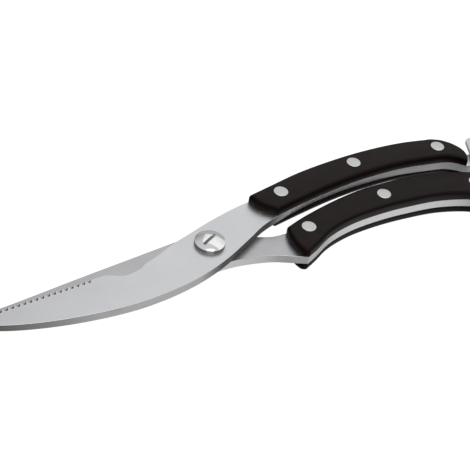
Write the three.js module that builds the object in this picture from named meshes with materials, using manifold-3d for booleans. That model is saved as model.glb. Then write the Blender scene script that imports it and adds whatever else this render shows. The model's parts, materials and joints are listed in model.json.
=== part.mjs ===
// Poultry shears with riveted handles, closed, with the latch swung clear.
// Millimetres. +X runs from the blade tips to the handle ends, +Y to the side of the upper
// handle and +Z up. Plan outlines are written about the pivot axis; the last lines move the
// whole assembly so that its origin is the centre of the underside of its bounding box.
import * as THREE from "three";
import { mergeVertices } from "three/addons/utils/BufferGeometryUtils.js";
import Module from "manifold-3d";

const wasm = await Module();
wasm.setup();

// Driving dimensions
const PLATE = 3.9; // thickness of each blade and its full tang
const SCALE = 4.4; // thickness of each handle scale
const RUNNING_GAP = 0.2; // between the two plates
const SEAT_GAP = 0.02; // between pieces that are clamped together
const SCALE_ROUND = 1.4; // radius on the outer edge of a scale
const EDGE_SETBACK = 0.6; // how far the grind leans back over the plate's thickness
const TIP_TAPER = 1; // how much thinner each plate is at the tip
const TAPER_START = -50; // the taper runs from here to the tip
const OUTLINE_STEP = 3.2; // spacing of the points on a long smooth outline
const END_STEP = 2.3; // and round a handle's end
const ROUND_SIDES = 16; // sides of a small turned piece
const PIVOT_SIDES = 24; // sides of the pieces round the pivot

// Levels above the surface that the shears rest on
const LOWER_PLATE_Z = SCALE;
const LOWER_PLATE_TOP = LOWER_PLATE_Z + PLATE;
const UPPER_PLATE_Z = LOWER_PLATE_TOP + RUNNING_GAP;
const UPPER_PLATE_TOP = UPPER_PLATE_Z + PLATE;

// Pivot
const BUSH_R = 4.5;
const SCREW_R = 3.0;
const RUNNING_CLEARANCE = 0.08;
const SCREW_HEAD_R = 6.3;
const SCREW_HEAD_RIM = 1.6;
const SCREW_HEAD_HEIGHT = 2.8;
const SCREW_SLOT = { width: 1.1, depth: 1.3, turn: 22, sawR: 11 };
const NUT = { acrossFlats: 10, bottom: 0.25, top: 3.5 };
const SPRING_RECESS = { inner: 5.0, outer: 8.1, depth: 1.5 };
const SPRING = { wire: 0.9, meanR: 6.5, pitch: 1.0, turns: 2, tail: 3.2, lowerAngle: 180, upperAngle: 16 };
const OPENING_DEG = 35;

// Serration on the upper blade
const TOOTH = { pitch: 2.4, gulletR: 0.87, lift: 0.37, first: -52.97, count: 19 };
const GRIND = { r: 1, tilt: 20, reach: 0.7, length: 6 }; // the shallow grind before each gullet
const UPPER_TIP = [-106.7, 0.8];
const LOWER_TIP = [-106.7, 1.5];
const TOOTH_LINE_END = [-48.1, 1.3];

// Handle rivets: places on each handle, and the two halves of a cutler's rivet
const UPPER_RIVETS = [[41.1, 12], [81.7, 16.1], [124.7, 10.8]];
const LOWER_RIVETS = [[43.1, -7.5], [85.4, -2.9], [129.4, -12.2]];
const RIVET = { headR: 3.15, head: 1.3, sleeveR: 2.3, pinR: 1.4, fit: 0.04, proud: 0.08 };

// Latch: a two-armed lever on the upper tang that hooks round a stud on the lower tang
const LATCH_PIVOT = [141.8, 0.4];
const LATCH_STUD = [141.3, -15.6];
const LATCH_SWING_DEG = 26;
const LATCH = { thickness: 1.8, hubR: 4.2, slotR: 2.3, hookWidth: 2.8, rivetR: 1.7, tabLength: 12 };
const STUD = { postR: 2.0, headR: 3.2, head: 1.1, tailR: 1.6, peen: 0.6 };
const LATCH_WASHER = { r: 3.7, thickness: 0.4 };

// Plan outlines, each run in its own short list of points. Together they go counter-clockwise.
const UPPER_SPINE = [
  UPPER_TIP, [-99.2, -3.1], [-85, -9.2], [-63.7, -14.8], [-39.7, -17.6], [-17.7, -15.9],
  [-0.7, -11.4], [16.6, -3.9], [25.3, 0.3], [34.7, 3.3],
];
const UPPER_TANG_FRONT = [
  [34.7, 3.3], [48, 6.5], [65.1, 8.9], [83.3, 9.7], [102.8, 8.4], [117.7, 5.7],
  [124.8, 4], [129, 1.7], [132.5, -2],
];
const UPPER_SCALE_FRONT = [
  [34.7, 3.3], [48, 5.4], [65.1, 7.6], [83.3, 8.7], [102.8, 8], [117.7, 5.6],
  [124.8, 4], [129, 1.7], [132.5, -2],
];
const UPPER_END_LOW = [[132.5, -2], [134.5, 0.8], [135.1, 4.2]];
const UPPER_END_HIGH = [[135.1, 4.2], [134.7, 7], [132.7, 11.2], [129.6, 14.7], [125.3, 17.1]];
const UPPER_REAR = [
  [125.3, 17.1], [110.3, 20.2], [94.3, 21.7], [78.3, 21.9], [56.3, 20.5], [39.3, 17.7],
  [27.9, 15.7],
];
const UPPER_MOUTH = [[27.9, 15.7], [28.6, 11.5], [31, 7.6], [34.7, 3.3]];
const UPPER_SHOULDER = [
  [27.9, 15.7], [20.8, 14.7], [6.9, 11.6], [-4.3, 8.4], [-15.3, 5.1], [-21.1, 2.7], [-29.1, 0],
];
const BONE_NOTCH = [
  [-29.1, 0], [-34.4, -1.6], [-38.7, -2], [-42.3, -0.6], [-45.3, 1.1], TOOTH_LINE_END,
];
const LOWER_EDGE = [
  LOWER_TIP, [-98.5, 0.4], [-85.5, -3], [-72.5, -5.8], [-56.5, -7.6], [-38.5, -8.6],
  [-22.5, -8.6], [-9.5, -8],
];
const LOWER_NECK_FRONT = [
  [-9.5, -8], [-7.5, -9], [-0.2, -8.7], [7.5, -9.1], [15.5, -10.6], [23.5, -13],
  [30.5, -16.6], [36.1, -19.5],
];
const LOWER_FRONT = [
  [36.1, -19.5], [42, -17.1], [51, -13], [63.7, -10.2], [80.1, -9.6], [95.5, -10.7],
  [110.2, -13], [123.3, -17.7], [131.3, -22.9],
];
const LOWER_END_LOW = [[131.3, -22.9], [135.5, -22.2], [137.5, -19]];
const LOWER_END_MIDDLE = [[137.5, -19], [137.9, -15.6], [137.3, -12.2]];
const LOWER_END_HIGH = [[137.3, -12.2], [135.9, -8.8], [132.7, -5.8], [127.3, -3.4]];
const LOWER_REAR = [
  [127.3, -3.4], [118.1, -0.1], [103.8, 2.9], [88.1, 4.1], [77.5, 4.2], [66, 3.1], [54.3, 1.2],
  [42.5, -1.4], [35.1, -3.6],
];
const LOWER_MOUTH = [[35.1, -3.6], [33.7, -7.6], [33.3, -11.6], [33.4, -15.6], [34.2, -18.2], [36.1, -19.5]];
const LOWER_NECK_REAR = [
  [35.1, -3.6], [29.8, -3.4], [25.7, -2.1], [22.3, -0.5], [15.5, 3.6], [7.5, 8.2],
  [-0.5, 10.4], [-8.5, 10.1],
];
const LOWER_SPINE = [
  [-8.5, 10.1], [-26.3, 8.8], [-53.2, 6.9], [-78.9, 4.8], [-97.5, 3.4], LOWER_TIP,
];

const materials = {
  steel: material(0xc4c5c8, 0.32, 1),
  lowerSteel: material(0xb4b4b8, 0.36, 1),
  plastic: material(0x231e1d, 0.38, 0),
  rivet: material(0xc8cac9, 0.4, 1),
  polished: material(0xd8d8da, 0.12, 1),
  spring: material(0x8f8f92, 0.35, 1),
};

function material(color, roughness, metalness) {
  return new THREE.MeshStandardMaterial({ color, roughness, metalness });
}

// ---- Outlines -------------------------------------------------------------------------------

// Evenly spaced points on a smooth curve through the knots.
function smooth(knots, step = OUTLINE_STEP) {
  const curve = new THREE.CatmullRomCurve3(
    knots.map(([x, y]) => new THREE.Vector3(x, y, 0)),
    false,
    "centripetal",
  );
  const steps = Math.max(2, Math.round(curve.getLength() / step));
  return curve.getSpacedPoints(steps).map((p) => new THREE.Vector2(p.x, p.y));
}

// Points on an arc, from one angle to another in degrees.
function arc([cx, cy], r, from, to, steps) {
  return Array.from({ length: steps + 1 }, (_, i) => {
    const a = THREE.MathUtils.degToRad(from + ((to - from) * i) / steps);
    return new THREE.Vector2(cx + r * Math.cos(a), cy + r * Math.sin(a));
  });
}

// One closed ring from several stretches, without the points that they share.
function ring(...stretches) {
  const points = stretches.flat();
  const near = 1e-3;
  return points.filter((p, i) => p.distanceTo(points.at(i - 1)) > near);
}

// The ring moved inwards, corner by corner.
function inset(points, distance) {
  return points.map((p, i) => {
    const into = p.clone().sub(points.at(i - 1)).normalize();
    const out = points[(i + 1) % points.length].clone().sub(p).normalize();
    const inwards = new THREE.Vector2(-into.y - out.y, into.x + out.x).normalize();
    const share = inwards.dot(new THREE.Vector2(-into.y, into.x));
    return p.clone().addScaledVector(inwards, distance / share);
  });
}

// The straight line that the teeth stand on.
function toothLine(x) {
  const [endX, endY] = TOOTH_LINE_END;
  const slope = (UPPER_TIP[1] - endY) / (UPPER_TIP[0] - endX);
  return new THREE.Vector2(x, endY + slope * (x - endX));
}

// The centres of the round gullets, a little outside the tooth line.
function gulletCentres() {
  const { first, pitch, lift, count } = TOOTH;
  return Array.from({ length: count }, (_, i) => {
    const { x, y } = toothLine(first - i * pitch);
    return [x, y + lift];
  });
}

// The serrated cutting edge, from the bone notch to the tip: a flat tooth between two gullets.
function toothedEdge() {
  const { gulletR, lift } = TOOTH;
  const start = THREE.MathUtils.radToDeg(Math.asin(lift / gulletR));
  const gullets = gulletCentres().flatMap((centre) =>
    arc(centre, gulletR, -start, start - 180, 4),
  );
  return [toothLine(TOOTH_LINE_END[0]), ...gullets, toothLine(UPPER_TIP[0])];
}

// ---- Solids ---------------------------------------------------------------------------------

// A closed body through a stack of rings that have equally many points.
function loft(layers) {
  const count = layers[0].points.length;
  const positions = layers.flatMap(({ points, z }) => points.flatMap((p) => [p.x, p.y, z]));
  const index = [];
  for (let k = 0; k + 1 < layers.length; k++)
    for (let i = 0; i < count; i++) {
      const j = (i + 1) % count;
      const [a, b, c, d] = [k * count + i, k * count + j, (k + 1) * count + j, (k + 1) * count + i];
      index.push(a, b, c, a, c, d);
    }
  addCap(index, layers[0].points, 0, false);
  addCap(index, layers.at(-1).points, (layers.length - 1) * count, true);
  const geometry = new THREE.BufferGeometry();
  geometry.setAttribute("position", new THREE.Float32BufferAttribute(positions, 3));
  geometry.setIndex(index);
  return solid(geometry);
}

// Triangles over a flat ring, facing up or down.
function addCap(index, points, offset, up) {
  const faces = THREE.ShapeUtils.triangulateShape(points, []);
  const area = ([a, b, c]) => THREE.ShapeUtils.area([points[a], points[b], points[c]]);
  const turnsLeft = faces.reduce((sum, face) => sum + area(face), 0) > 0;
  for (const [a, b, c] of faces) {
    const order = turnsLeft === up ? [a, b, c] : [a, c, b];
    index.push(...order.map((i) => i + offset));
  }
}

function prism(points, bottom, top) {
  return loft([{ points, z: bottom }, { points, z: top }]);
}

// A turned solid from [radius, z] corners; the profile closes on the axis or on itself.
function turned([x, y], corners, sides = ROUND_SIDES) {
  const onAxis = corners[0][0] === 0;
  const profile = onAxis ? corners : [...corners, corners[0]];
  const geometry = new THREE.LatheGeometry(
    profile.map(([r, z]) => new THREE.Vector2(r, z)),
    sides,
  );
  return solid(geometry.rotateX(Math.PI / 2).translate(x, y, 0));
}

function cylinder(centre, r, bottom, top, sides) {
  return turned(centre, [[0, bottom], [r, bottom], [r, top], [0, top]], sides);
}

// A tube or washer.
function tube(centre, inner, outer, bottom, top, sides) {
  return turned(centre, [[inner, bottom], [outer, bottom], [outer, top], [inner, top]], sides);
}

// A manifold-3d solid from a closed three.js geometry.
function solid(geometry) {
  geometry.deleteAttribute("normal");
  geometry.deleteAttribute("uv");
  const weld = 1e-4;
  const merged = mergeVertices(geometry, weld);
  const made = new wasm.Manifold(
    new wasm.Mesh({
      numProp: 3,
      vertProperties: merged.attributes.position.array,
      triVerts: new Uint32Array(merged.index.array),
    }),
  );
  return made;
}

function cutAll(body, tools) {
  return tools.reduce((rest, tool) => rest.subtract(tool), body);
}

function mesh(name, body, look) {
  const made = body.getMesh();
  const geometry = new THREE.BufferGeometry();
  geometry.setAttribute("position", new THREE.BufferAttribute(made.vertProperties, 3));
  geometry.setIndex(new THREE.BufferAttribute(made.triVerts, 1));
  geometry.computeVertexNormals();
  const result = new THREE.Mesh(geometry, look);
  result.name = name;
  return result;
}

// ---- Blades ---------------------------------------------------------------------------------

function upperPlateRing(setback) {
  const lean = new THREE.Vector2(0, -setback);
  const edge = [...smooth(BONE_NOTCH, END_STEP).slice(1), ...toothedEdge().slice(1, -1)];
  return ring(
    smooth(UPPER_SPINE),
    smooth(UPPER_TANG_FRONT),
    arc(LATCH_PIVOT, LATCH.hubR + 0.2, -110, 110, 12),
    smooth(UPPER_END_HIGH, END_STEP),
    smooth(UPPER_REAR),
    smooth(UPPER_SHOULDER),
    edge.map((p) => p.clone().add(lean)),
  );
}

function lowerPlateRing(setback) {
  const lean = new THREE.Vector2(0, setback);
  return ring(
    smooth(LOWER_EDGE).map((p, i, all) => (i && i + 1 < all.length ? p.add(lean) : p)),
    smooth(LOWER_NECK_FRONT),
    smooth(LOWER_FRONT),
    smooth(LOWER_END_LOW, END_STEP),
    arc(LATCH_STUD, LATCH.hubR, -120, 120, 12),
    smooth(LOWER_END_HIGH, END_STEP),
    smooth(LOWER_REAR),
    smooth(LOWER_NECK_REAR),
    smooth(LOWER_SPINE),
  );
}

// The wedge that a plate loses towards its tip, on its outer face.
function taperWedge(faceZ, outwards) {
  const length = 70;
  const width = 60;
  const height = 4;
  const lean = Math.atan(TIP_TAPER / (TAPER_START - UPPER_TIP[0]));
  const box = new THREE.BoxGeometry(length, width, height)
    .translate(-length / 2, 0, (outwards * height) / 2)
    .rotateY(-outwards * lean)
    .translate(TAPER_START, 0, faceZ);
  return solid(box);
}

// The round tools that grind the start of each gullet into the upper face.
function gulletGrinds() {
  const { r, tilt, reach, length } = GRIND;
  const taper = TIP_TAPER / (TAPER_START - UPPER_TIP[0]);
  return gulletCentres().map(([x, y]) => {
    const lip = y - TOOTH.gulletR - EDGE_SETBACK;
    const face = UPPER_PLATE_TOP - taper * (TAPER_START - x);
    const tool = new THREE.CylinderGeometry(r, r, length, ROUND_SIDES)
      .rotateX(-THREE.MathUtils.degToRad(tilt))
      .translate(x, lip - reach, face + r);
    return solid(tool);
  });
}

function rivetHoles(places, bottom, top) {
  const r = RIVET.sleeveR + RIVET.fit;
  return places.map((place) => cylinder(place, r, bottom - 1, top + 1));
}

function springRecess(bottom, top) {
  return tube([0, 0], SPRING_RECESS.inner, SPRING_RECESS.outer, bottom, top, PIVOT_SIDES);
}

// The pocket that a spring tail lies in, wide enough for the angle it swings through.
function tailPocket(from, to, bottom, top) {
  const inner = SPRING_RECESS.outer - 0.5;
  const outer = SPRING.meanR + SPRING.tail + 0.5;
  const steps = 8;
  const outline = ring(arc([0, 0], outer, from, to, steps), arc([0, 0], inner, to, from, steps));
  return prism(outline, bottom, top);
}

function upperBlade() {
  const body = loft([
    { points: upperPlateRing(0), z: UPPER_PLATE_Z },
    { points: upperPlateRing(EDGE_SETBACK), z: UPPER_PLATE_TOP },
  ]);
  const recessTop = UPPER_PLATE_Z + SPRING_RECESS.depth;
  const { upperAngle } = SPRING;
  return cutAll(body, [
    taperWedge(UPPER_PLATE_TOP, 1),
    ...gulletGrinds(),
    cylinder([0, 0], BUSH_R + RUNNING_CLEARANCE, UPPER_PLATE_Z - 1, UPPER_PLATE_TOP + 1, PIVOT_SIDES),
    springRecess(UPPER_PLATE_Z - 1, recessTop),
    tailPocket(upperAngle - OPENING_DEG - 8, upperAngle + 7, UPPER_PLATE_Z - 1, recessTop),
    ...rivetHoles(UPPER_RIVETS, UPPER_PLATE_Z, UPPER_PLATE_TOP),
    cylinder(LATCH_PIVOT, LATCH.rivetR + RIVET.fit, UPPER_PLATE_Z - 1, UPPER_PLATE_TOP + 1),
  ]);
}

function lowerBlade() {
  const body = loft([
    { points: lowerPlateRing(EDGE_SETBACK), z: LOWER_PLATE_Z },
    { points: lowerPlateRing(0), z: LOWER_PLATE_TOP },
  ]);
  const recessBottom = LOWER_PLATE_TOP - SPRING_RECESS.depth;
  const { lowerAngle } = SPRING;
  return cutAll(body, [
    taperWedge(LOWER_PLATE_Z, -1),
    cylinder([0, 0], BUSH_R + RIVET.fit, LOWER_PLATE_Z - 1, LOWER_PLATE_TOP + 1, PIVOT_SIDES),
    springRecess(recessBottom, LOWER_PLATE_TOP + 1),
    tailPocket(lowerAngle - 7, lowerAngle + 7, recessBottom, LOWER_PLATE_TOP + 1),
    ...rivetHoles(LOWER_RIVETS, LOWER_PLATE_Z, LOWER_PLATE_TOP),
    cylinder(LATCH_STUD, STUD.tailR + RIVET.fit, LOWER_PLATE_Z - 1, LOWER_PLATE_TOP + 1),
  ]);
}

// ---- Handles --------------------------------------------------------------------------------

// A scale lies on its tang at seatZ and is rounded on the side that faces the hand.
function scale(outline, seatZ, outwards, rivets) {
  const steps = 2;
  const outerZ = seatZ + outwards * SCALE;
  const layers = Array.from({ length: steps + 1 }, (_, i) => {
    const a = (Math.PI / 2) * (i / steps);
    return {
      points: inset(outline, SCALE_ROUND * (1 - Math.cos(a))),
      z: outerZ - outwards * SCALE_ROUND * (1 - Math.sin(a)),
    };
  });
  layers.unshift({ points: outline, z: seatZ + outwards * SEAT_GAP });
  if (outwards < 0) layers.reverse();
  const headSeat = outerZ - outwards * (RIVET.head + RIVET.fit);
  const [low, high] = [Math.min(headSeat, outerZ + outwards), Math.max(headSeat, outerZ + outwards)];
  const counterbores = rivets.map((place) =>
    cylinder(place, RIVET.headR + RIVET.fit, low, high),
  );
  const lowest = Math.min(seatZ, outerZ);
  return cutAll(loft(layers), [...rivetHoles(rivets, lowest, lowest + SCALE), ...counterbores]);
}

function upperScaleRing() {
  return ring(
    smooth(UPPER_SCALE_FRONT),
    smooth(UPPER_END_LOW, END_STEP),
    smooth(UPPER_END_HIGH, END_STEP),
    smooth(UPPER_REAR),
    smooth(UPPER_MOUTH, END_STEP),
  );
}

function lowerScaleRing() {
  return ring(
    smooth(LOWER_FRONT),
    smooth(LOWER_END_LOW, END_STEP),
    smooth(LOWER_END_MIDDLE, END_STEP),
    smooth(LOWER_END_HIGH, END_STEP),
    smooth(LOWER_REAR),
    smooth(LOWER_MOUTH, END_STEP),
  );
}

// The half of a cutler's rivet that shows on top: a flat head on a pin.
function rivetPin(place, plateZ) {
  const top = plateZ + PLATE + SCALE + RIVET.proud;
  const head = plateZ + PLATE + SCALE - RIVET.head;
  const tip = plateZ - SCALE + RIVET.head + 1;
  return turned(place, [
    [0, tip], [RIVET.pinR, tip], [RIVET.pinR, head], [RIVET.headR, head],
    [RIVET.headR, top], [0, top],
  ]);
}

// The half underneath: a flat head on a sleeve that the pin is driven into.
function rivetSleeve(place, plateZ) {
  const bottom = plateZ - SCALE + RIVET.fit;
  const head = plateZ - SCALE + RIVET.head;
  const top = plateZ + PLATE + SCALE - RIVET.head - RIVET.fit;
  const bore = RIVET.pinR + RIVET.fit;
  return turned(place, [
    [0, bottom], [RIVET.headR, bottom], [RIVET.headR, head], [RIVET.sleeveR, head],
    [RIVET.sleeveR, top], [bore, top], [bore, head + 0.5], [0, head + 0.5],
  ]);
}

function addHandle(group, side, outline, plateZ, rivets) {
  const topScale = scale(outline, plateZ + PLATE, 1, rivets);
  const bottomScale = scale(outline, plateZ, -1, rivets);
  group.add(mesh(`${side}_handle_top_scale`, topScale, materials.plastic));
  group.add(mesh(`${side}_handle_bottom_scale`, bottomScale, materials.plastic));
  const names = ["front", "middle", "rear"];
  rivets.forEach((place, i) => {
    const rivet = `${side}_${names[i]}_rivet`;
    group.add(mesh(`${rivet}_pin`, rivetPin(place, plateZ), materials.rivet));
    group.add(mesh(`${rivet}_sleeve`, rivetSleeve(place, plateZ), materials.rivet));
  });
}

// ---- Pivot ----------------------------------------------------------------------------------

function pivotScrew() {
  const seat = UPPER_PLATE_TOP + SEAT_GAP;
  const rimTop = seat + SCREW_HEAD_RIM;
  const crown = SCREW_HEAD_HEIGHT - SCREW_HEAD_RIM;
  const domeSteps = 6;
  const dome = Array.from({ length: domeSteps }, (_, i) => {
    const share = 1 - (i + 1) / domeSteps;
    return [SCREW_HEAD_R * share, rimTop + crown * (1 - share * share)];
  });
  const end = NUT.bottom + 0.3;
  const body = turned([0, 0], [
    [0, end], [SCREW_R - 0.4, end], [SCREW_R, end + 0.4], [SCREW_R, seat],
    [SCREW_HEAD_R - 0.3, seat], [SCREW_HEAD_R, seat + 0.3], [SCREW_HEAD_R, rimTop], ...dome,
  ], PIVOT_SIDES);
  return body.subtract(slotDisc(seat + SCREW_HEAD_HEIGHT));
}

// The round saw that cuts the screwdriver slot, so that the slot runs out before the rim.
function slotDisc(headTop) {
  const { width, depth, turn, sawR } = SCREW_SLOT;
  const sides = 60;
  const disc = new THREE.CylinderGeometry(sawR, sawR, width, sides)
    .rotateZ(THREE.MathUtils.degToRad(turn))
    .translate(0, 0, headTop - depth + sawR);
  return solid(disc);
}

function pivotBush() {
  const [bottom, top] = [LOWER_PLATE_Z + 0.05, UPPER_PLATE_TOP];
  return tube([0, 0], SCREW_R + RIVET.fit, BUSH_R, bottom, top, PIVOT_SIDES);
}

function hexagonRing(acrossFlats) {
  return arc([0, 0], acrossFlats / Math.sqrt(3), 0, 300, 5);
}

function pivotNut() {
  const chamfer = 0.5;
  const { acrossFlats, bottom, top } = NUT;
  const body = loft([
    { points: hexagonRing(acrossFlats - 2 * chamfer), z: bottom },
    { points: hexagonRing(acrossFlats), z: bottom + chamfer },
    { points: hexagonRing(acrossFlats), z: top },
  ]);
  return body.subtract(cylinder([0, 0], SCREW_R + RIVET.fit, bottom - 1, top + 1, PIVOT_SIDES));
}

function springWasher() {
  const [bottom, top] = [NUT.top + SEAT_GAP, LOWER_PLATE_Z - SEAT_GAP];
  return tube([0, 0], SCREW_R + 0.2, BUSH_R + 0.9, bottom, top, PIVOT_SIDES);
}

// A two-turn torsion spring round the bush, with a radial tail in each plate.
function pivotSpring() {
  const { wire, meanR, pitch, turns, tail, lowerAngle, upperAngle } = SPRING;
  const low = LOWER_PLATE_TOP - SPRING_RECESS.depth + wire / 2 + 0.1;
  const sweep = turns * 360 + upperAngle - lowerAngle;
  const steps = 44;
  const at = (deg, r, z) => {
    const a = THREE.MathUtils.degToRad(deg);
    return new THREE.Vector3(r * Math.cos(a), r * Math.sin(a), z);
  };
  const coil = Array.from({ length: steps + 1 }, (_, i) =>
    at(lowerAngle + (sweep * i) / steps, meanR, low + (pitch * sweep * i) / (360 * steps)),
  );
  const high = low + (pitch * sweep) / 360;
  const path = new THREE.CatmullRomCurve3(
    [at(lowerAngle - 2, meanR + tail, low), ...coil, at(upperAngle + 2, meanR + tail, high)],
    false,
    "centripetal",
  );
  const section = new THREE.Shape(arc([0, 0], wire / 2, 0, 300, 5));
  const geometry = new THREE.ExtrudeGeometry(section, { steps: 54, extrudePath: path });
  return solid(geometry);
}

// ---- Latch ----------------------------------------------------------------------------------

// The lever in its hooked position, turned back by the swing: a thumb tab on one side of the
// hub, and on the other an arm that passes the stud and hooks under it. The slot's sides are
// arcs about the lever's own pivot, so the stud runs in along the slot.
function latchLever() {
  const [px, py] = LATCH_PIVOT;
  const reach = Math.hypot(LATCH_STUD[0] - px, LATCH_STUD[1] - py);
  const towards = THREE.MathUtils.radToDeg(Math.atan2(LATCH_STUD[1] - py, LATCH_STUD[0] - px));
  const aim = towards + LATCH_SWING_DEG;
  const { hubR, slotR, hookWidth, tabLength, thickness, rivetR } = LATCH;
  const polar = (r, deg) => arc(LATCH_PIVOT, r, deg, deg, 1)[0];
  const seat = polar(reach, aim);
  const fingerTip = aim - 9;
  const outerR = reach + slotR + hookWidth;
  const tabAim = 74;
  const tabEnd = polar(tabLength - 2.6, tabAim);
  const outline = ring(
    arc(LATCH_PIVOT, hubR, tabAim + 75, aim - 55 + 360, 6),
    arc(LATCH_PIVOT, reach - slotR, aim - 7, aim, 3),
    arc([seat.x, seat.y], slotR, aim + 180, aim, 8).slice(1, -1),
    arc(LATCH_PIVOT, reach + slotR, aim, fingerTip, 3),
    arc(LATCH_PIVOT, outerR, fingerTip, aim + 11, 6),
    arc(LATCH_PIVOT, reach - 2, aim + 17, aim + 17, 1),
    arc(LATCH_PIVOT, hubR, aim + 60, tabAim - 60, 4),
    arc([tabEnd.x, tabEnd.y], 2.6, tabAim - 80, tabAim + 80, 8),
  );
  const bottom = UPPER_PLATE_TOP + LATCH_WASHER.thickness + 2 * SEAT_GAP;
  const body = prism(outline, bottom, bottom + thickness);
  return body.subtract(
    cylinder(LATCH_PIVOT, rivetR + RUNNING_CLEARANCE, bottom - 1, bottom + thickness + 1),
  );
}

// A peened rivet: a low head under the plate, a shank, and a wider head on top.
function peenedPin(place, shape) {
  const { tailR, postR, headR, peen, under, plateBottom, plateTop, headBottom, headTop } = shape;
  const edge = 0.35;
  return turned(place, [
    [0, plateBottom - peen], [under, plateBottom - peen], [under, plateBottom - SEAT_GAP],
    [tailR, plateBottom - SEAT_GAP], [tailR, plateTop + SEAT_GAP], [postR, plateTop + SEAT_GAP],
    [postR, headBottom], [headR, headBottom], [headR, headTop - edge], [headR - edge, headTop],
    [0, headTop],
  ]);
}

function latchRivet() {
  const leverTop = UPPER_PLATE_TOP + LATCH_WASHER.thickness + 2 * SEAT_GAP + LATCH.thickness;
  return peenedPin(LATCH_PIVOT, {
    tailR: LATCH.rivetR - 0.05,
    postR: LATCH.rivetR,
    headR: 3.1,
    peen: STUD.peen,
    under: 2.7,
    plateBottom: UPPER_PLATE_Z,
    plateTop: UPPER_PLATE_TOP,
    headBottom: leverTop + 0.05,
    headTop: leverTop + 1,
  });
}

function latchStud() {
  const leverTop = UPPER_PLATE_TOP + LATCH_WASHER.thickness + LATCH.thickness;
  return peenedPin(LATCH_STUD, {
    tailR: STUD.tailR,
    postR: STUD.postR,
    headR: STUD.headR,
    peen: STUD.peen,
    under: 2.6,
    plateBottom: LOWER_PLATE_Z,
    plateTop: LOWER_PLATE_TOP,
    headBottom: leverTop + 0.3,
    headTop: leverTop + 0.3 + STUD.head,
  });
}

function latchWasher() {
  const bottom = UPPER_PLATE_TOP + SEAT_GAP;
  const { r, thickness } = LATCH_WASHER;
  return tube(LATCH_PIVOT, LATCH.rivetR + 0.1, r, bottom, bottom + thickness);
}

// ---- Assembly -------------------------------------------------------------------------------

const upperHalf = new THREE.Group();
upperHalf.add(mesh("upper_blade", upperBlade(), materials.steel));
addHandle(upperHalf, "upper", upperScaleRing(), UPPER_PLATE_Z, UPPER_RIVETS);
upperHalf.add(mesh("latch_rivet", latchRivet(), materials.polished));
upperHalf.add(mesh("latch_washer", latchWasher(), materials.rivet));

const lowerHalf = new THREE.Group();
lowerHalf.add(mesh("lower_blade", lowerBlade(), materials.lowerSteel));
addHandle(lowerHalf, "lower", lowerScaleRing(), LOWER_PLATE_Z, LOWER_RIVETS);
lowerHalf.add(mesh("latch_stud", latchStud(), materials.polished));
lowerHalf.add(mesh("pivot_screw", pivotScrew(), materials.polished));
lowerHalf.add(mesh("pivot_bush", pivotBush(), materials.rivet));
lowerHalf.add(mesh("pivot_nut", pivotNut(), materials.rivet));
lowerHalf.add(mesh("spring_washer", springWasher(), materials.spring));
lowerHalf.add(mesh("pivot_spring", pivotSpring(), materials.spring));

const shears = new THREE.Group();
shears.add(lowerHalf, upperHalf, mesh("latch_lever", latchLever(), materials.steel));

// The pivot axis as seen from the centre of the bounding box
const PIVOT_X = -23.64;
const PIVOT_Y = 0.46;
shears.position.set(PIVOT_X, PIVOT_Y, 0);

export default shears;
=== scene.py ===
"""Looks for the poultry shears: finer handle scales, edges and round parts, with materials,
lights and a camera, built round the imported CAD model."""

import json
import math

import bmesh
import bpy
import numpy as np
from mathutils import Matrix, Vector


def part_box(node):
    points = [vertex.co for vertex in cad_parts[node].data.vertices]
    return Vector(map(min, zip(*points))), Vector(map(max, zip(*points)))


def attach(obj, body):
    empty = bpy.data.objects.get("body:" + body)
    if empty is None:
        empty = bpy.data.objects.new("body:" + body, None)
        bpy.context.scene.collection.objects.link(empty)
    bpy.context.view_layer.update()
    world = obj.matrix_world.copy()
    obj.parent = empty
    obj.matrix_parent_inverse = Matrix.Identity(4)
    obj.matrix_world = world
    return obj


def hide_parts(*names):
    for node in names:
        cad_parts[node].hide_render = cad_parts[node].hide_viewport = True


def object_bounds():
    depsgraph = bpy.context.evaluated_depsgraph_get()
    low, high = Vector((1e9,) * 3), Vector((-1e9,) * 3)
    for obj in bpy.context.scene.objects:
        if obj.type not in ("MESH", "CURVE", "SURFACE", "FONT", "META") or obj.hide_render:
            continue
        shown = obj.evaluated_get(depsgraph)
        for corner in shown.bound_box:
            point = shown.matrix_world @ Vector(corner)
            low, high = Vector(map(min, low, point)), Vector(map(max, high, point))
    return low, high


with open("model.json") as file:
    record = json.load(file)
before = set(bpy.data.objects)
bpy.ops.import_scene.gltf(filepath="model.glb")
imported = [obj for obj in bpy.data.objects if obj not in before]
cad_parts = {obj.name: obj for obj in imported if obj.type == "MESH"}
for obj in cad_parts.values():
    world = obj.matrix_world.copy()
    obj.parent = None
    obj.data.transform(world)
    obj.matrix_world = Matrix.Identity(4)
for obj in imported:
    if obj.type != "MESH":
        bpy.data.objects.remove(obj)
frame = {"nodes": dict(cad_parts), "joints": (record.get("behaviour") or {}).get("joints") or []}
cad_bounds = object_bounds()
NODES = frame["nodes"]
PIVOT = Vector(next(j["pos_m"] for j in frame["joints"] if j["name"] == "pivot"))
MM = 0.001

# Where the photograph was taken from: the point looked at, then the camera's place round it
VIEW_TARGET = (-14.61 * MM, -3.14 * MM, 16.8 * MM)
VIEW_AZIMUTH = 37.73  # from looking along +Y, turned towards +X, in degrees
VIEW_ELEVATION = 41.74
VIEW_ROLL = 9.75
VIEW_DISTANCE = 475.6 * MM
VIEW_LENS = 91.8

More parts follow.
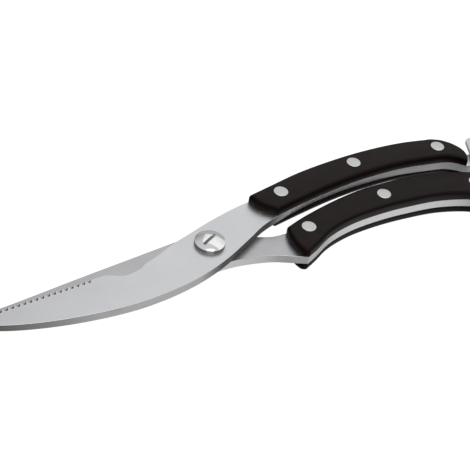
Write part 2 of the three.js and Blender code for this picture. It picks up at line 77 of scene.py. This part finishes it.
# Sizes that several pieces share
SEAT_GAP = 0.02 * MM  # between clamped pieces
# The plates' top rim is given brighter steel, a painted highlight.
RIM_ROUND = 0.09 * MM  # width of the bright rim round each plate
RIVET = {"head": 1.3 * MM, "pin_r": 1.4 * MM, "sleeve_r": 2.3 * MM, "recess": 0.04 * MM}
RIVET_EDGE = 0.32 * MM
RIVET_DOME = 0.05 * MM
SCREW = {
    "rim": 1.6 * MM,
    "edge": 0.18 * MM,
    "foot": 0.25 * MM,
    "shank_r": 3.0 * MM,
    "end": 0.4 * MM,
}
SCREW_SLOT = {"width": 1.1 * MM, "depth": 1.3 * MM, "turn": 22, "saw_r": 11 * MM, "lip": 0.12 * MM}


# ---- Node materials --------------------------------------------------------------------------


def add_ramp(tree, source, stops):
    """A ramp from (position, value or colour) stops."""
    made = tree.nodes.new("ShaderNodeValToRGB")
    elements = made.color_ramp.elements
    while len(elements) < len(stops):
        elements.new(0.5)
    for element, (position, value) in zip(elements, stops):
        grey = isinstance(value, (int, float))
        element.position = position
        element.color = (value, value, value, 1) if grey else (*value, 1)
    tree.links.new(source, made.inputs["Fac"])
    return made.outputs["Color"]


class Material:
    """A node material with one Principled shader, and short calls for what feeds it."""

    def __init__(self, name, **sockets):
        self.made = bpy.data.materials.new(name)
        self.made.use_nodes = True
        self.tree = self.made.node_tree
        self.shader = self.tree.nodes["Principled BSDF"]
        for socket, value in sockets.items():
            self.shader.inputs[socket.replace("_", " ")].default_value = value
        self.place = self.node("ShaderNodeTexCoord").outputs["Object"]

    def node(self, kind, **settings):
        made = self.tree.nodes.new(kind)
        for key, value in settings.items():
            setattr(made, key, value)
        return made

    def link(self, source, target):
        self.tree.links.new(source, target)

    def noise(self, scale, stretch=(1, 1, 1), turn=0, detail=4, roughness=0.55):
        """Noise in the object's own space, in cycles per metre, stretched along a turned X."""
        mapping = self.node("ShaderNodeMapping")
        mapping.inputs["Rotation"].default_value = (0, 0, math.radians(turn))
        mapping.inputs["Scale"].default_value = stretch
        texture = self.node("ShaderNodeTexNoise")
        texture.inputs["Scale"].default_value = scale
        texture.inputs["Detail"].default_value = detail
        texture.inputs["Roughness"].default_value = roughness
        self.link(self.place, mapping.inputs["Vector"])
        self.link(mapping.outputs["Vector"], texture.inputs["Vector"])
        return texture.outputs["Fac"]

    def along_x(self):
        """0 at the blade tips to 1 at the handle ends."""
        parts = self.node("ShaderNodeSeparateXYZ")
        share = self.node("ShaderNodeMapRange")
        share.inputs["From Min"].default_value = cad_bounds[0].x
        share.inputs["From Max"].default_value = cad_bounds[1].x
        self.link(self.place, parts.inputs[0])
        self.link(parts.outputs["X"], share.inputs["Value"])
        return share.outputs["Result"]

    def ramp(self, source, *stops):
        return add_ramp(self.tree, source, stops)

    def mix(self, a, b):
        """One colour darkened by another."""
        made = self.node("ShaderNodeMix", data_type="RGBA", blend_type="MULTIPLY")
        made.inputs["Factor"].default_value = 1.0
        self.link(a, made.inputs["A"])
        self.link(b, made.inputs["B"])
        return made.outputs["Result"]

    def feed(self, socket, source):
        self.link(source, self.shader.inputs[socket])

    def bump(self, height, distance, strength=1.0):
        made = self.node("ShaderNodeBump")
        made.inputs["Strength"].default_value = strength
        made.inputs["Distance"].default_value = distance
        self.link(height, made.inputs["Height"])
        self.feed("Normal", made.outputs["Normal"])


def x_share(x_mm):
    low, high = cad_bounds
    return (x_mm * MM - low.x) / (high.x - low.x)


def satin_steel(name, light, dark, grain_turn, rough=(0.3, 0.4)):
    """Ground steel: fine parallel grain, faint clouds and a little uneven gloss."""
    look = Material(name, Metallic=1.0)
    grain = look.noise(900, (0.045, 1, 1), grain_turn, detail=3)
    clouds = look.noise(60, detail=5)
    tone = look.ramp(clouds, (0.3, dark), (0.7, light))
    look.feed("Base Color", look.mix(tone, look.ramp(grain, (0.3, 0.94), (0.7, 1.0))))
    look.feed("Roughness", look.ramp(grain, (0.3, rough[0]), (0.72, rough[1])))
    look.bump(grain, 0.000012, 0.5)
    return look.made


def sheared_edge(name, *painted_light_stops):
    """The blanked side of a plate, with marks across its thickness. Its tone changes along
    the blade, in (part X in mm, colour) stops that paint light and shade onto the side."""
    look = Material(name, Metallic=0.6)
    marks = look.noise(1500, (1, 1, 0.06), detail=2)
    # Painted light and shade along the blade, set as base colour stops.
    tone = look.ramp(look.along_x(), *((x_share(x), colour) for x, colour in painted_light_stops))
    look.feed("Base Color", look.mix(tone, look.ramp(marks, (0.3, 0.93), (0.7, 1.0))))
    look.feed("Roughness", look.ramp(marks, (0.3, 0.36), (0.7, 0.44)))
    look.bump(marks, 0.00002, 0.2)
    return look.made


def polished_steel(name, colour=(0.86, 0.86, 0.87), rough=(0.06, 0.14)):
    """Bright steel with faint hairlines and a slightly uneven surface."""
    look = Material(name, Metallic=1.0)
    smears = look.noise(420, detail=4)
    smeared = tuple(c * 0.93 for c in colour)
    look.feed("Base Color", look.ramp(smears, (0.3, smeared), (0.7, colour)))
    hairlines = look.noise(1300, (0.1, 1, 1), 30)
    look.feed("Roughness", look.ramp(hairlines, (0.3, rough[0]), (0.7, rough[1])))
    look.bump(look.noise(260, detail=2), 0.00003, 0.35)
    return look.made


def rivet_metal(name):
    """Soft light metal, sanded flush with the handle."""
    look = Material(name, Metallic=1.0)
    scratches = look.noise(1800, (0.08, 1, 1), 20, detail=3)
    tone = look.ramp(look.noise(300), (0.3, (0.63, 0.64, 0.63)), (0.7, (0.71, 0.72, 0.71)))
    look.feed("Base Color", look.mix(tone, look.ramp(scratches, (0.3, 0.9), (0.7, 1.0))))
    look.feed("Roughness", look.ramp(scratches, (0.3, 0.4), (0.7, 0.52)))
    look.bump(scratches, 0.000015, 0.5)
    return look.made


def moulded_plastic(name):
    """Brown-black plastic with a fine moulded grain and faint lengthwise streaks."""
    look = Material(name, Specular_IOR_Level=0.14)
    streaks = look.noise(130, (0.1, 1, 1), 8, detail=5)
    pebble = look.noise(2600, detail=2)
    dark, light = (0.0072, 0.0030, 0.0028), (0.0125, 0.0055, 0.0050)
    look.feed("Base Color", look.ramp(streaks, (0.32, dark), (0.7, light)))
    look.feed("Roughness", look.ramp(look.noise(240, detail=5), (0.3, 0.34), (0.7, 0.46)))
    look.bump(pebble, 0.00002, 0.4)
    return look.made


def floor_material(name):
    """A pale floor that glows by itself, so that it stays white without any light on it."""
    look = Material(name, Base_Color=(0.2, 0.2, 0.2, 1), Roughness=0.9)
    look.shader.inputs["Emission Color"].default_value = (1, 1, 1, 1)
    look.shader.inputs["Emission Strength"].default_value = 0.98
    return look.made


BLADE = satin_steel("upper_blade_steel", (0.69, 0.695, 0.715), (0.65, 0.655, 0.675), 4)
LOWER_BLADE = satin_steel("lower_blade_steel", (0.54, 0.54, 0.555), (0.49, 0.49, 0.50), -4)
# The upper plate's side is dark at the tip and at the neck, and bright along the handle: painted
# shade at the tip, a painted dark reflection at the neck and painted light along the handle.
UPPER_EDGE_PAINTED_LIGHT = sheared_edge(
    "plate_edge_painted_light_and_shade",
    (-128, (0.34, 0.33, 0.325)),
    (-98, 0.5),
    (-80, 0.66),
    (-36, 0.6),
    (-24, 0.1),
    (6, 0.1),
    (18, 0.98),
    (100, 0.86),
)
# The lower plate's side is painted brighter towards the handle: painted light.
LOWER_EDGE_PAINTED_LIGHT = sheared_edge("lower_plate_edge_painted_light", (-120, 0.6), (0, (0.9, 0.9, 0.91)))
# Darker steel in the gullets between the teeth: painted shade in the hollows.
GULLET_PAINTED_SHADE = satin_steel("gullets_painted_shade", (0.13, 0.13, 0.134), (0.1, 0.1, 0.103), 0)
# Brighter steel for rounded rims: a painted highlight.
CHAMFER_PAINTED_HIGHLIGHT = polished_steel("rim_steel_painted_highlight", (0.85, 0.85, 0.86), (0.2, 0.3))
POLISHED = polished_steel("polished_steel")
# Dark steel for the screw head's rim: painted shade.
SCREW_RIM_PAINTED_SHADE = polished_steel("screw_rim_painted_shade", (0.3, 0.3, 0.31))
HARDWARE = satin_steel("hardware_steel", (0.56, 0.56, 0.57), (0.50, 0.50, 0.51), 40)
RIVET_METAL = rivet_metal("rivet_metal")
# Brighter metal for the rivet heads' rounded rim: a painted highlight.
RIVET_RIM_PAINTED_HIGHLIGHT = polished_steel("rivet_rim_painted_highlight", (0.84, 0.85, 0.84), (0.25, 0.35))
PLASTIC = moulded_plastic("handle_plastic")


# ---- Mesh helpers ----------------------------------------------------------------------------


def add_object(name, bm, looks):
    mesh = bpy.data.meshes.new(name)
    bm.to_mesh(mesh)
    bm.free()
    made = bpy.data.objects.new(name, mesh)
    bpy.context.scene.collection.objects.link(made)
    for look in looks:
        mesh.materials.append(look)
    return made


def shade(obj, angle=32):
    """Smooth shading, broken where faces meet at more than this angle."""
    mesh = obj.data
    mesh.shade_smooth()
    mesh.set_sharp_from_angle(angle=math.radians(angle))


def flatten(obj):
    """Plain shading on the level faces of a plate."""
    for face in obj.data.polygons:
        face.use_smooth = abs(face.normal.z) < 0.99


def bevel_edges(bm, wanted, width, segments=2, material=-1):
    """Rounds the edges that a test picks."""
    picked = [e for e in bm.edges if len(e.link_faces) == 2 and wanted(e)]
    bmesh.ops.bevel(
        bm,
        geom=picked,
        offset=width,
        offset_type="OFFSET",
        segments=segments,
        profile=0.5,
        affect="EDGES",
        material=material,
        clamp_overlap=False,
    )
    bm.normal_update()


def corner_angle(edge):
    return edge.link_faces[0].normal.angle(edge.link_faces[1].normal, 0)


def body_mesh(node):
    """A CAD node's mesh as a welded bmesh."""
    bm = bmesh.new()
    bm.from_mesh(NODES[node].data)
    bmesh.ops.remove_doubles(bm, verts=bm.verts, dist=2e-6)
    bm.normal_update()
    return bm


def middle(node):
    low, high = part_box(node)
    return (low + high) / 2


def stand_in(obj, node, body):
    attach(obj, body)
    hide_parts(node)


# ---- Blades ----------------------------------------------------------------------------------


FLAT_FACE, SIDE, HIGHLIGHT_RIM, HOLLOW = range(4)  # material places on a plate
TEETH_X = (-129.5 * MM, -75 * MM)  # where the teeth are along the blade
TEETH_Y = -1.6 * MM  # the teeth lie beyond this


def is_gullet(face):
    """Whether a face lies in the hollow between two teeth: upright or ground at a slant, and
    turned neither straight out, as a tooth's tip is, nor back, as the spine is."""
    x, y, _ = face.calc_center_median()
    on_teeth = TEETH_X[0] < x < TEETH_X[1] and y > TEETH_Y
    return on_teeth and abs(face.normal.z) < 0.985 and -0.5 < face.normal.y < 0.97


def plate(node, body, face_look, edge_look, serrated=False):
    """A blade with its rounded edges: flat faces, blanked sides and a thin top rim in brighter
    steel, a painted highlight. The gullets between the teeth stay sharp, in darker steel, a
    painted shade."""
    bm = body_mesh(node)
    upright = math.cos(math.radians(70))
    for face in bm.faces:
        face.material_index = FLAT_FACE if abs(face.normal.z) > upright else SIDE
        # Gullet faces take the darker steel, a painted shade.
        if serrated and is_gullet(face):
            face.material_index = HOLLOW
    half_way = middle(node).z

    def is_rim(edge, top):
        level = abs((edge.verts[0].co - edge.verts[1].co).normalized().z) < 0.35
        above = edge.verts[0].co.z > half_way
        blunt = all(face.material_index != HOLLOW for face in edge.link_faces)
        return blunt and level and above == top and corner_angle(edge) > math.radians(40)

    # The top rim gets the brighter steel, a painted highlight.
    bevel_edges(bm, lambda e: is_rim(e, True), RIM_ROUND, 2, material=HIGHLIGHT_RIM)
    bevel_edges(bm, lambda e: is_rim(e, False), RIM_ROUND, 1, material=SIDE)
    made = add_object(node + "_look", bm, [face_look, edge_look, CHAMFER_PAINTED_HIGHLIGHT, GULLET_PAINTED_SHADE])
    shade(made, 20)
    flatten(made)
    stand_in(made, node, body)


# ---- Handle scales ---------------------------------------------------------------------------


def seat_outline(node, seat_z):
    """The outer loop of the face that a scale lies on, as an (n, 2) array, counter-clockwise."""
    bm = body_mesh(node)
    near = 3e-5
    rim = {}
    for edge in bm.edges:
        on_seat = all(abs(v.co.z - seat_z) < near for v in edge.verts)
        if on_seat and any(abs(f.normal.z) < 0.9 for f in edge.link_faces):
            for a, b in (edge.verts, reversed(edge.verts)):
                rim.setdefault(a, []).append(b)
    loops = []
    while rim:
        start = next(iter(rim))
        loop = [start]
        following = rim.pop(start)[0]
        while following is not start:
            loop.append(following)
            ways = rim.pop(following)
            following = ways[0] if ways[0] is not loop[-2] else ways[1]
        loops.append(np.array([(v.co.x, v.co.y) for v in loop]))
    bm.free()
    outline = max(loops, key=lambda points: np.ptp(points, axis=0).max())
    x, y = outline.T
    area = np.sum(x * np.roll(y, -1) - np.roll(x, -1) * y)
    return outline if area > 0 else outline[::-1]


def corner_indices(outline):
    """The three sharp corners, then the point of the rounded end that faces +X +Y."""
    into = outline - np.roll(outline, 1, axis=0)
    out = np.roll(outline, -1, axis=0) - outline
    turn = np.abs(
        np.arctan2(
            into[:, 0] * out[:, 1] - into[:, 1] * out[:, 0], np.sum(into * out, axis=1)
        )
    )
    sharp = list(np.argsort(turn)[-3:])
    outer = int(np.argmax(outline.sum(axis=1)))
    return sorted(sharp + [outer])


def spaced(points, fractions):
    """Points at these fractions of the length of a smooth curve through the given points."""
    ends = (2 * points[0] - points[1], 2 * points[-1] - points[-2])
    knots = np.vstack([ends[0], points, ends[1]])
    fine = []
    for a, b, c, d in zip(knots, knots[1:], knots[2:], knots[3:]):
        for t in np.linspace(0, 1, 12, endpoint=False):
            bend = (2 * a - 5 * b + 4 * c - d) * t**2
            twist = (3 * b - a - 3 * c + d) * t**3
            fine.append(0.5 * (2 * b + (c - a) * t + bend + twist))
    fine.append(points[-1])
    fine = np.array(fine)
    along = np.concatenate([[0], np.cumsum(np.linalg.norm(np.diff(fine, axis=0), axis=1))])
    wanted = fractions * along[-1]
    return np.column_stack([np.interp(wanted, along, fine[:, k]) for k in range(2)])


def crowded(count, share):
    """Fractions from 0 to 1 that lie closer together near both ends."""
    t = np.linspace(0, 1, count)
    return t - share * np.sin(2 * math.pi * t) / (2 * math.pi)


def side_distance(points, side):
    """The distance from each point to a polyline."""
    a, b = side[:-1], side[1:]
    step = b - a
    offset = points[:, None, :] - a[None]
    t = np.clip(np.sum(offset * step, axis=2) / np.sum(step * step, axis=1), 0, 1)
    return np.linalg.norm(offset - t[..., None] * step, axis=2).min(axis=1)


def four_sides(outline):
    """The outline as four stretches, in turn: front, end, rear and mouth."""
    corners = corner_indices(outline)

    def stretch(a, b):
        return outline[a : b + 1] if a < b else np.vstack([outline[a:], outline[: b + 1]])

    sides = [stretch(corners[k], corners[(k + 1) % 4]) for k in range(4)]
    lengths = [np.linalg.norm(np.diff(s, axis=0), axis=1).sum() for s in sides]
    # The front is the long side that lies further towards -Y.
    start = max(range(4), key=lambda k: (lengths[k] > 60 * MM, -sides[k][:, 1].mean()))
    return [sides[(start + k) % 4] for k in range(4)]


def scale_grid(outline):
    """Points that fill the outline in rows and columns, and the four sides they run between."""
    front, end, rear, mouth = four_sides(outline)
    across, lengthwise = crowded(40, 0.62), crowded(130, 0.5)
    front, rear = spaced(front, lengthwise), spaced(rear[::-1], lengthwise)
    end, mouth = spaced(end, across), spaced(mouth[::-1], across)
    u, v = np.meshgrid(lengthwise, across, indexing="ij")
    u, v = u[..., None], v[..., None]
    front_corners = (1 - u) * (1 - v) * front[0] + u * (1 - v) * front[-1]
    corners = front_corners + (1 - u) * v * rear[0] + u * v * rear[-1]
    between = (1 - v) * front[:, None] + v * rear[:, None]
    return between + (1 - u) * mouth[None] + u * end[None] - corners, (front, end, rear, mouth)


def scale_height(flat, sides, thickness, reach, drop, crown):
    """How high the scale stands at each point: rounded down towards the outline."""
    power = 5
    depths = np.array([side_distance(flat, side) for side in sides])
    inside = np.sum(np.maximum(depths, 1e-7) ** -power, axis=0) ** (-1 / power)
    share = 1 - np.minimum(inside, reach) / reach
    height = thickness - crown - drop * (1 - np.sqrt(1 - share**2))
    half_width = 9 * MM
    return height + crown * np.sin(np.clip(inside / half_width, 0, 1) * math.pi / 2)


def scale_walls(bm, top, flat, rim, seat_z, outwards):
    """The upright walls, a softened foot and the seat, under the rim of the top."""
    lip = 0.2 * MM
    rings = [[top[k] for k in rim]]
    for depth, inset in ((lip, 0.0), (0.0, lip * 0.6)):
        ring = []
        for n, k in enumerate(rim):
            before, after = flat[rim[n - 1]], flat[rim[(n + 1) % len(rim)]]
            inwards = Vector((-(after - before)[1], (after - before)[0])).normalized()
            x, y = flat[k][0] + inwards.x * inset, flat[k][1] + inwards.y * inset
            ring.append(bm.verts.new((x, y, seat_z + outwards * depth)))
        rings.append(ring)
    for upper, lower in zip(rings, rings[1:]):
        for n in range(len(rim)):
            m = (n + 1) % len(rim)
            bm.faces.new([upper[n], lower[n], lower[m], upper[m]])
    bm.faces.new(rings[-1])


def scale_piece(node, body, seat_z, outwards, reach, drop, crown):
    """A moulded handle scale: straight walls, an edge rounded over this reach and drop, and
    a slight crown."""
    low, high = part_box(node)
    grid, sides = scale_grid(seat_outline(node, seat_z))
    rows, columns = grid.shape[:2]
    flat = grid.reshape(-1, 2)
    height = scale_height(flat, sides, high.z - low.z, reach, drop, crown)
    bm = bmesh.new()
    top = [bm.verts.new((x, y, seat_z + outwards * z)) for (x, y), z in zip(flat, height)]
    for i in range(rows - 1):
        for j in range(columns - 1):
            k = i * columns + j
            bm.faces.new([top[k], top[k + columns], top[k + columns + 1], top[k + 1]])
    rim = (
        [i * columns for i in range(rows)]
        + [(rows - 1) * columns + j for j in range(1, columns)]
        + [i * columns + columns - 1 for i in range(rows - 2, -1, -1)]
        + [j for j in range(columns - 2, 0, -1)]
    )
    scale_walls(bm, top, flat, rim, seat_z, outwards)
    bmesh.ops.recalc_face_normals(bm, faces=bm.faces)
    made = add_object(node + "_look", bm, [PLASTIC])
    shade(made, 50)
    stand_in(made, node, body)


# ---- Turned pieces ---------------------------------------------------------------------------


def lathe(profile, centre, sides=64):
    """A bmesh turned about an upright axis from (radius, z) corners, open or closed."""
    bm = bmesh.new()
    rings = []
    for r, z in profile:
        if r < 1e-7:
            rings.append([bm.verts.new((centre.x, centre.y, z))])
            continue
        turns = [2 * math.pi * k / sides for k in range(sides)]
        rings.append(
            [
                bm.verts.new((centre.x + r * math.cos(a), centre.y + r * math.sin(a), z))
                for a in turns
            ]
        )
    for upper, lower in zip(rings, rings[1:]):
        for k in range(sides):
            m = (k + 1) % sides
            outer = (upper[k % len(upper)], lower[k % len(lower)])
            following = (lower[m % len(lower)], upper[m % len(upper)])
            unique = list(dict.fromkeys(outer + following))
            if len(unique) > 2:
                bm.faces.new(unique)
    bmesh.ops.recalc_face_normals(bm, faces=bm.faces)
    return bm


def head_profile(r, top, under, outwards, edge, dome, steps=10):
    """Corners of a flush or domed head from its axis out to its underside."""
    crown = [
        (t / steps * (r - edge), top - outwards * dome * (t / steps) ** 2)
        for t in range(steps + 1)
    ]
    rim = [
        (
            r - edge + edge * math.sin(a),
            top - outwards * (dome + edge - edge * math.cos(a)),
        )
        for a in (math.pi / 8, math.pi / 4, 3 * math.pi / 8, math.pi / 2)
    ]
    return crown + rim + [(r, under)]


def rivet_half(node, body, outwards):
    """A flush rivet head with a rounded rim in brighter metal, a painted highlight, on its pin or
    sleeve.
    """
    low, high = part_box(node)
    r = (high.x - low.x) / 2
    top = high.z if outwards > 0 else low.z - RIVET["recess"]
    head = top - outwards * RIVET["head"]
    far = low.z if outwards > 0 else high.z
    shank = RIVET["pin_r"] if outwards > 0 else RIVET["sleeve_r"]
    profile = head_profile(r, top, head, outwards, RIVET_EDGE, RIVET_DOME)
    profile += [(shank, head), (shank, far), (0, far)]
    bm = lathe(profile, middle(node))
    for face in bm.faces:
        flat_top = abs(face.normal.z) > 0.985
        # The rim gets the brighter metal, a painted highlight.
        face.material_index = 0 if flat_top else 1
    made = add_object(node + "_look", bm, [RIVET_METAL, RIVET_RIM_PAINTED_HIGHLIGHT])
    shade(made, 40)
    stand_in(made, node, body)


def turned_piece(node, body, profile, look, sides=64, bevel=0.0):
    bm = lathe(profile, middle(node), sides)
    if bevel:
        bevel_edges(bm, lambda e: corner_angle(e) > 0.9, bevel)
    made = add_object(node + "_look", bm, [look])
    shade(made, 35)
    stand_in(made, node, body)


def screw_profile(low, high, plate_top):
    """Corners of the screw from the middle of its dome down to its end."""
    r = (high.x - low.x) / 2
    rim, edge, shank, end, foot = (SCREW[k] for k in ("rim", "edge", "shank_r", "end", "foot"))
    dome_steps = 16
    crown = high.z - plate_top - rim
    dome = [
        ((r - edge) * k / dome_steps, plate_top + rim + crown * (1 - (k / dome_steps) ** 2))
        for k in range(dome_steps + 1)
    ]
    shoulder = [
        (r - edge + edge * math.sin(a), plate_top + rim - edge * (1 - math.cos(a)))
        for a in (math.pi / 6, math.pi / 3, math.pi / 2)
    ]
    seat = plate_top + SEAT_GAP
    under = [(r, seat + foot), (r - foot, seat), (shank, seat)]
    return dome + shoulder + under + [(shank, low.z + end), (shank - end, low.z), (0, low.z)]


def cut_slot(obj, head_top):
    """Saws the slot with a round disc, and returns the cut shape as a bmesh."""
    width, depth, turn, saw_r = (SCREW_SLOT[k] for k in ("width", "depth", "turn", "saw_r"))
    disc = bmesh.new()
    bmesh.ops.create_cone(
        disc, cap_ends=True, segments=180, radius1=saw_r, radius2=saw_r, depth=width
    )
    cutter = add_object("slot_cutter", disc, [HARDWARE])
    cutter.matrix_world = (
        Matrix.Translation((PIVOT.x, PIVOT.y, head_top - depth + saw_r))
        @ Matrix.Rotation(math.radians(turn), 4, "Z")
        @ Matrix.Rotation(math.radians(90), 4, "X")
    )
    cut = obj.modifiers.new("slot", "BOOLEAN")
    cut.object = cutter
    cut.solver = "EXACT"
    bpy.context.view_layer.update()
    evaluated = obj.evaluated_get(bpy.context.evaluated_depsgraph_get())
    bm = bmesh.new()
    bm.from_mesh(bpy.data.meshes.new_from_object(evaluated))
    obj.modifiers.clear()
    bpy.data.objects.remove(cutter)
    return bm


def pivot_screw():
    """A polished dome with a rounded rim in dark steel, a painted shade, and a screwdriver slot
    with softened edges.
    """
    node = "pivot_screw"
    low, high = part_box(node)
    plate_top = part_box("upper_blade")[1].z
    polished, dark_rim_wall = 0, 2
    bm = lathe(screw_profile(low, high, plate_top), PIVOT, 96)
    for face in bm.faces:
        on_rim = abs(face.normal.z) < 0.5 and face.calc_center_median().z > plate_top
        # The rim wall gets the dark steel, a painted shade.
        face.material_index = dark_rim_wall if on_rim else polished
    made = add_object(node + "_look", bm, [POLISHED, HARDWARE, SCREW_RIM_PAINTED_SHADE])
    bm = cut_slot(made, high.z)
    bmesh.ops.remove_doubles(bm, verts=bm.verts, dist=1e-6)
    bm.normal_update()
    above = plate_top + SCREW["rim"]
    bevel_edges(
        bm,
        lambda e: min(v.co.z for v in e.verts) > above and corner_angle(e) > 0.7,
        SCREW_SLOT["lip"],
        1,
    )
    bm.to_mesh(made.data)
    bm.free()
    shade(made, 30)
    stand_in(made, node, "lower_half")


def peened(node, body, edge):
    """A headed latch pin, turned from the CAD node's own levels."""
    bm = body_mesh(node)
    centre = middle(node)
    corners = {}
    for vert in bm.verts:
        r = round((vert.co.xy - centre.xy).length, 6)
        corners.setdefault(round(vert.co.z, 6), set()).add(r)
    bm.free()
    profile = [(0, max(corners))]
    previous = 0.0
    for z in sorted(corners, reverse=True):
        radii = sorted(corners[z], key=lambda r: abs(r - previous))
        for r in radii:
            if r > 1e-6:
                profile.append((r, z))
                previous = r
    profile.append((0, min(corners)))
    turned_piece(node, body, profile, POLISHED, 56, edge)


def plain_ring(node, body, inner, look):
    low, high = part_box(node)
    outer = (high.x - low.x) / 2
    profile = [(inner, high.z), (outer, high.z), (outer, low.z), (inner, low.z), (inner, high.z)]
    turned_piece(node, body, profile, look, 56, 0.08 * MM)


def bevelled_copy(node, body, look, width, angle=40):
    """The CAD node's own shape with its sharp edges rounded."""
    bm = body_mesh(node)
    # The rounded edges get brighter steel, a painted highlight.
    bevel_edges(bm, lambda e: corner_angle(e) > math.radians(angle), width, 2, material=1)
    made = add_object(node + "_look", bm, [look, CHAMFER_PAINTED_HIGHLIGHT])
    shade(made, 20)
    flatten(made)
    stand_in(made, node, body)


def finish_node(node, look):
    """A CAD node shown as it is, with its own material."""
    obj = NODES[node]
    obj.data.materials.clear()
    obj.data.materials.append(look)


# ---- The object ------------------------------------------------------------------------------


def build_handle(side, underside_reach, underside_drop):
    body = side + "_half"
    tang_low, tang_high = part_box(side + "_blade")
    top_seat, bottom_seat = tang_high.z + SEAT_GAP, tang_low.z - SEAT_GAP
    top, bottom = side + "_handle_top_scale", side + "_handle_bottom_scale"
    scale_piece(top, body, top_seat, 1, 1.5 * MM, 1.4 * MM, 0.25 * MM)
    scale_piece(bottom, body, bottom_seat, -1, underside_reach, underside_drop, 0.0)
    for place in ("front", "middle", "rear"):
        rivet_half(f"{side}_{place}_rivet_pin", body, 1)
        rivet_half(f"{side}_{place}_rivet_sleeve", body, -1)


plate("upper_blade", "upper_half", BLADE, UPPER_EDGE_PAINTED_LIGHT, serrated=True)
plate("lower_blade", "lower_half", LOWER_BLADE, LOWER_EDGE_PAINTED_LIGHT)
build_handle("upper", 5.5 * MM, 3.5 * MM)
build_handle("lower", 2.4 * MM, 2.0 * MM)
pivot_screw()
plain_ring("pivot_bush", "lower_half", 3.04 * MM, HARDWARE)
plain_ring("spring_washer", "lower_half", 3.2 * MM, HARDWARE)
plain_ring("latch_washer", "upper_half", 1.8 * MM, HARDWARE)
bevelled_copy("pivot_nut", "lower_half", HARDWARE, 0.15 * MM, 25)
bevelled_copy("latch_lever", "latch", BLADE, 0.2 * MM)
peened("latch_rivet", "upper_half", 0.15 * MM)
peened("latch_stud", "lower_half", 0.15 * MM)
finish_node("pivot_spring", HARDWARE)


# ---- Stage -----------------------------------------------------------------------------------


def add_floor():
    """A plain white floor just under the shears, which throws no light and takes no shadow."""
    bm = bmesh.new()
    half = 3.0
    corners = ((-half, -half), (half, -half), (half, half), (-half, half))
    bm.faces.new([bm.verts.new((x, y, 0)) for x, y in corners])
    floor = add_object("floor", bm, [floor_material("pale_floor")])
    below = 0.05 * MM
    floor.location.z = -below
    floor.visible_diffuse = False
    floor.visible_glossy = False
    floor.visible_shadow = False


def add_area_light(name, azimuth, elevation, distance, size, power):
    """A soft rectangle of light that faces the origin."""
    light = bpy.data.lights.new(name, "AREA")
    light.shape = "RECTANGLE"
    light.size, light.size_y = size
    light.energy = power
    holder = bpy.data.objects.new(name, light)
    bpy.context.scene.collection.objects.link(holder)
    a, e = math.radians(azimuth), math.radians(elevation)
    towards = Vector((math.sin(a) * math.cos(e), math.cos(a) * math.cos(e), math.sin(e)))
    holder.location = towards * distance
    holder.rotation_mode = "QUATERNION"
    holder.rotation_quaternion = towards.to_track_quat("Z", "Y")


def add_world():
    """A soft studio surround: bright overhead, dark below, and a low glow from one side."""
    world = bpy.data.worlds.new("studio")
    bpy.context.scene.world = world
    world.use_nodes = True
    tree = world.node_tree
    background = tree.nodes["Background"]
    direction = tree.nodes.new("ShaderNodeTexCoord").outputs["Generated"]

    def lean(axis, stops):
        """Grey stops along the direction's share of this axis."""
        dot = tree.nodes.new("ShaderNodeVectorMath")
        dot.operation = "DOT_PRODUCT"
        dot.inputs[1].default_value = axis
        tree.links.new(direction, dot.inputs[0])
        return add_ramp(tree, dot.outputs["Value"], stops)

    sky = ((0.0, 0.1), (0.4, 0.12), (0.55, 0.45), (0.72, 0.6), (0.9, 0.66))
    upwards = lean((0, 0, 1), sky)
    glow = lean((0.47, -0.6, -0.65), ((0.72, 0.0), (0.97, 0.75)))
    backdrop = lean((0.61, 0.79, -0.25), ((0.6, 0.0), (0.85, 0.35)))
    total = upwards
    for extra in (glow, backdrop):
        mix = tree.nodes.new("ShaderNodeMix")
        mix.data_type = "RGBA"
        mix.blend_type = "ADD"
        mix.inputs["Factor"].default_value = 1.0
        tree.links.new(total, mix.inputs["A"])
        tree.links.new(extra, mix.inputs["B"])
        total = mix.outputs["Result"]
    tree.links.new(total, background.inputs["Color"])


def add_camera():
    """A camera placed round the view target, then rolled about its own axis."""
    camera = bpy.data.objects.new("camera", bpy.data.cameras.new("camera"))
    bpy.context.scene.collection.objects.link(camera)
    camera.data.lens = VIEW_LENS
    camera.data.sensor_width = 36
    camera.data.clip_start = 0.01
    a, e, roll = (math.radians(x) for x in (VIEW_AZIMUTH, VIEW_ELEVATION, VIEW_ROLL))
    forward = Vector((math.sin(a) * math.cos(e), math.cos(a) * math.cos(e), -math.sin(e)))
    right = Vector((math.cos(a), -math.sin(a), 0))
    up = right.cross(forward)
    right, up = (
        right * math.cos(roll) + up * math.sin(roll),
        up * math.cos(roll) - right * math.sin(roll),
    )
    turn = Matrix((right, up, -forward)).transposed().to_4x4()
    camera.matrix_world = Matrix.Translation(Vector(VIEW_TARGET) - forward * VIEW_DISTANCE) @ turn
    bpy.context.scene.camera = camera


add_floor()
add_world()
add_area_light("back_softbox", 54, 44, 1.6, (1.6, 1.2), 2.5)
add_area_light("top_softbox", 200, 82, 1.5, (0.9, 0.9), 3)
add_area_light("front_fill", 205, 30, 1.5, (1.2, 0.5), 2.5)
add_camera()
bpy.context.scene.view_settings.view_transform = "Standard"
